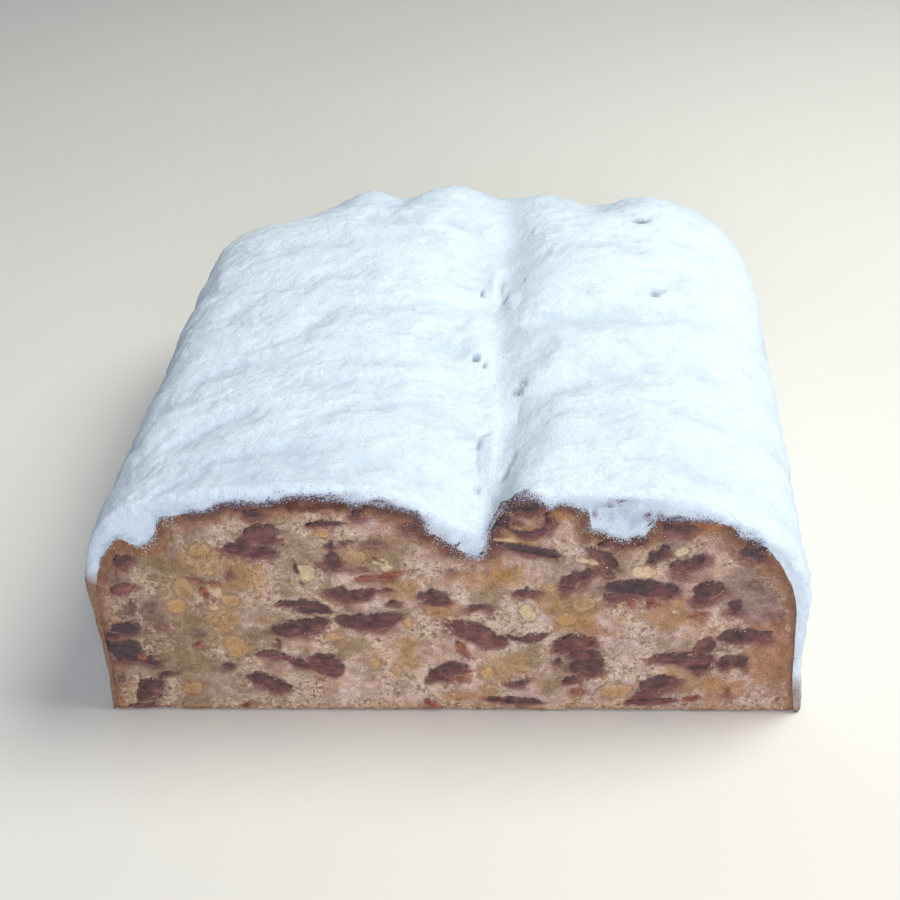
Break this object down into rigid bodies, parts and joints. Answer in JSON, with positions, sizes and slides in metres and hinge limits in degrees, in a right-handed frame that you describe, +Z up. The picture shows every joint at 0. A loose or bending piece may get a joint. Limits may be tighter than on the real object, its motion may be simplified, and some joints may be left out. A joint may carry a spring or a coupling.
{
  "type": "stollen",
  "caption": "Cut end of a sugared fruit loaf: a flat cut face with raisins, peel and almonds, a furrow along the top, and a thick coat of powdered sugar.",
  "frame": {"origin": "on the table under the middle of the loaf's box", "axes": "+Z up; +Y along the loaf, from the cut face at -Y to the rounded end; +X to the right as the cut face is seen"},
  "size_m": [0.1496, 0.168, 0.0586],
  "materials": {
    "bread": "matte",
    "sugar": "matte",
    "raisin": "satin",
    "candied_peel": "satin",
    "almond": "matte"
  },
  "bodies": {
    "root": {"almond_01": "almond", "almond_02": "almond", "almond_03": "almond", "almond_04": "almond", "almond_05": "almond", "bread": "bread", "peel_01": "candied_peel", "peel_02": "candied_peel", "peel_03": "candied_peel", "peel_04": "candied_peel", "peel_05": "candied_peel", "peel_06": "candied_peel", "peel_07": "candied_peel", "peel_08": "candied_peel", "raisin_01": "raisin", "raisin_02": "raisin", "raisin_03": "raisin", "raisin_04": "raisin", "raisin_05": "raisin", "raisin_06": "raisin", "raisin_07": "raisin", "raisin_08": "raisin", "raisin_09": "raisin", "raisin_10": "raisin", "raisin_11": "raisin", "raisin_12": "raisin", "raisin_13": "raisin", "raisin_14": "raisin", "raisin_15": "raisin", "raisin_16": "raisin", "raisin_17": "raisin", "raisin_18": "raisin", "raisin_19": "raisin", "raisin_20": "raisin", "raisin_21": "raisin", "raisin_22": "raisin", "raisin_23": "raisin", "raisin_24": "raisin", "raisin_25": "raisin", "raisin_26": "raisin", "raisin_27": "raisin", "raisin_28": "raisin", "raisin_29": "raisin", "raisin_30": "raisin", "raisin_31": "raisin", "raisin_32": "raisin", "raisin_33": "raisin", "raisin_34": "raisin", "raisin_35": "raisin", "raisin_36": "raisin", "raisin_37": "raisin", "raisin_38": "raisin", "raisin_39": "raisin", "raisin_40": "raisin", "raisin_41": "raisin", "raisin_42": "raisin", "sugar_coat": "sugar"}
  },
  "joints": []
}
